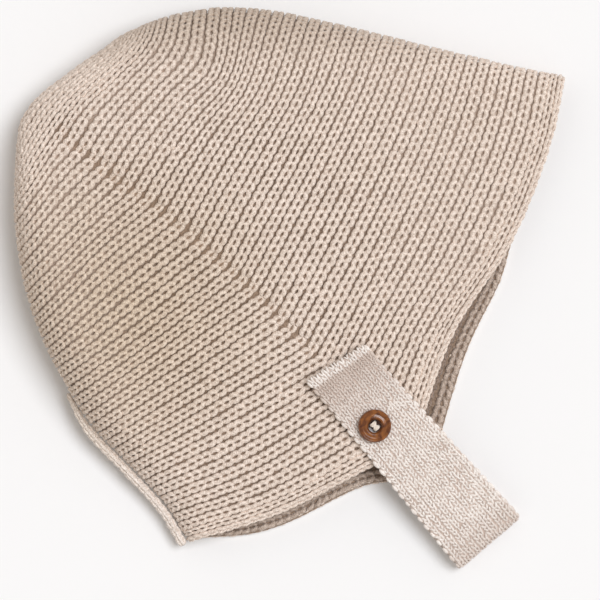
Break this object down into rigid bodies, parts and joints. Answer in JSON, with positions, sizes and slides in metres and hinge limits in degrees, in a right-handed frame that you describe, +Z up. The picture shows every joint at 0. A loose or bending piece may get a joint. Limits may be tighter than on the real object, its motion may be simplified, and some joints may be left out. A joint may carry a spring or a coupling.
{
  "type": "baby bonnet",
  "caption": "Rib-knitted baby bonnet lying folded on its side, with a knitted chin strap buttoned over the near corner.",
  "frame": {"origin": "on the surface that the bonnet lies on, under the middle of its outline", "axes": "+Z up from the surface, through both layers; +Y towards the fold over the top of the head; +X towards the face opening"},
  "size_m": [0.1923, 0.1968, 0.0318],
  "materials": {
    "rib_knit": "matt oatmeal wool and cotton yarn in fisherman's rib",
    "seam_knit": "matt oatmeal yarn, chain of linked loops",
    "strap_knit": "matt oatmeal yarn in fine plain knit",
    "button": "polished brown horn look",
    "thread": "pale twisted thread"
  },
  "bodies": {
    "root": {"knit_shell": "rib_knit", "back_seam": "seam_knit", "chin_strap": "strap_knit", "button": "button", "button_thread": "thread"}
  },
  "joints": []
}
